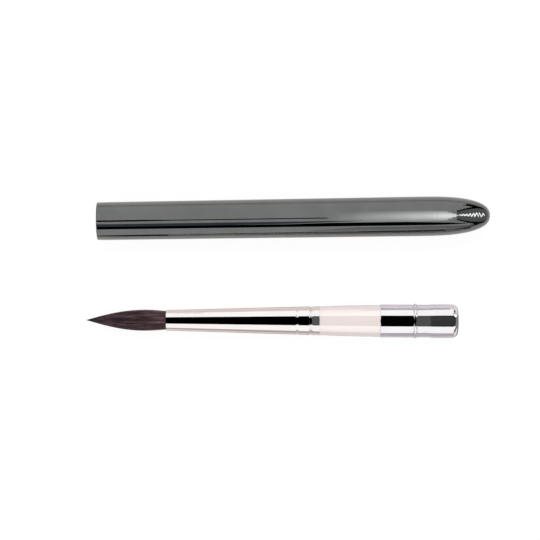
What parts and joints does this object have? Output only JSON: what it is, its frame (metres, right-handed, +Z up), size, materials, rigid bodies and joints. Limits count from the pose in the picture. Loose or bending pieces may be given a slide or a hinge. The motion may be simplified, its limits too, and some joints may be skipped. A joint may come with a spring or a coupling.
{
  "type": "reversible pocket brush",
  "caption": "Pointed round paint brush that stores hair first in its metal case and, turned round, uses the case as a handle.",
  "frame": {"origin": "centre of the whole layout's footprint, on the surface that both halves lie on", "axes": "+X along the brush from the hair's tip to the knob, and within a degree of the case from its open mouth to its nose; +Z up from the surface; the case lies on the +Y side"},
  "size_m": [0.1112, 0.039, 0.0109],
  "materials": {
    "dark_metal": "polished black chrome",
    "liner_plastic": "moulded",
    "hair": "dark brown natural hair",
    "thread": "waxed linen",
    "glue": "set resin",
    "bright_metal": "polished nickel",
    "core_metal": "as turned",
    "collar_plastic": "polished"
  },
  "bodies": {
    "case": {"case_shell": "dark_metal", "case_liner": "liner_plastic"},
    "brush": {"tuft_belly": "hair", "root_thread": "thread", "root_glue": "glue", "ferrule": "bright_metal", "ferrule_plug": "bright_metal", "core_rod": "core_metal", "collar": "collar_plastic", "barrel": "bright_metal", "stop_ring": "bright_metal", "knob": "bright_metal"},
    "tuft": {"tuft_point": "hair"}
  },
  "joints": [
    {"name": "brush_slide", "type": "slide", "parent": "case", "child": "brush", "axis": [-1, 0, 0], "range_m": [0, 0.105]},
    {"name": "tuft_flex", "type": "hinge", "parent": "brush", "child": "tuft", "pos_m": [-0.03913, -0.01477, 0.00293], "axis": [0, 0, 1], "range_deg": [-25, 25], "stiffness_Nm_per_rad": 0.0005}
  ]
}
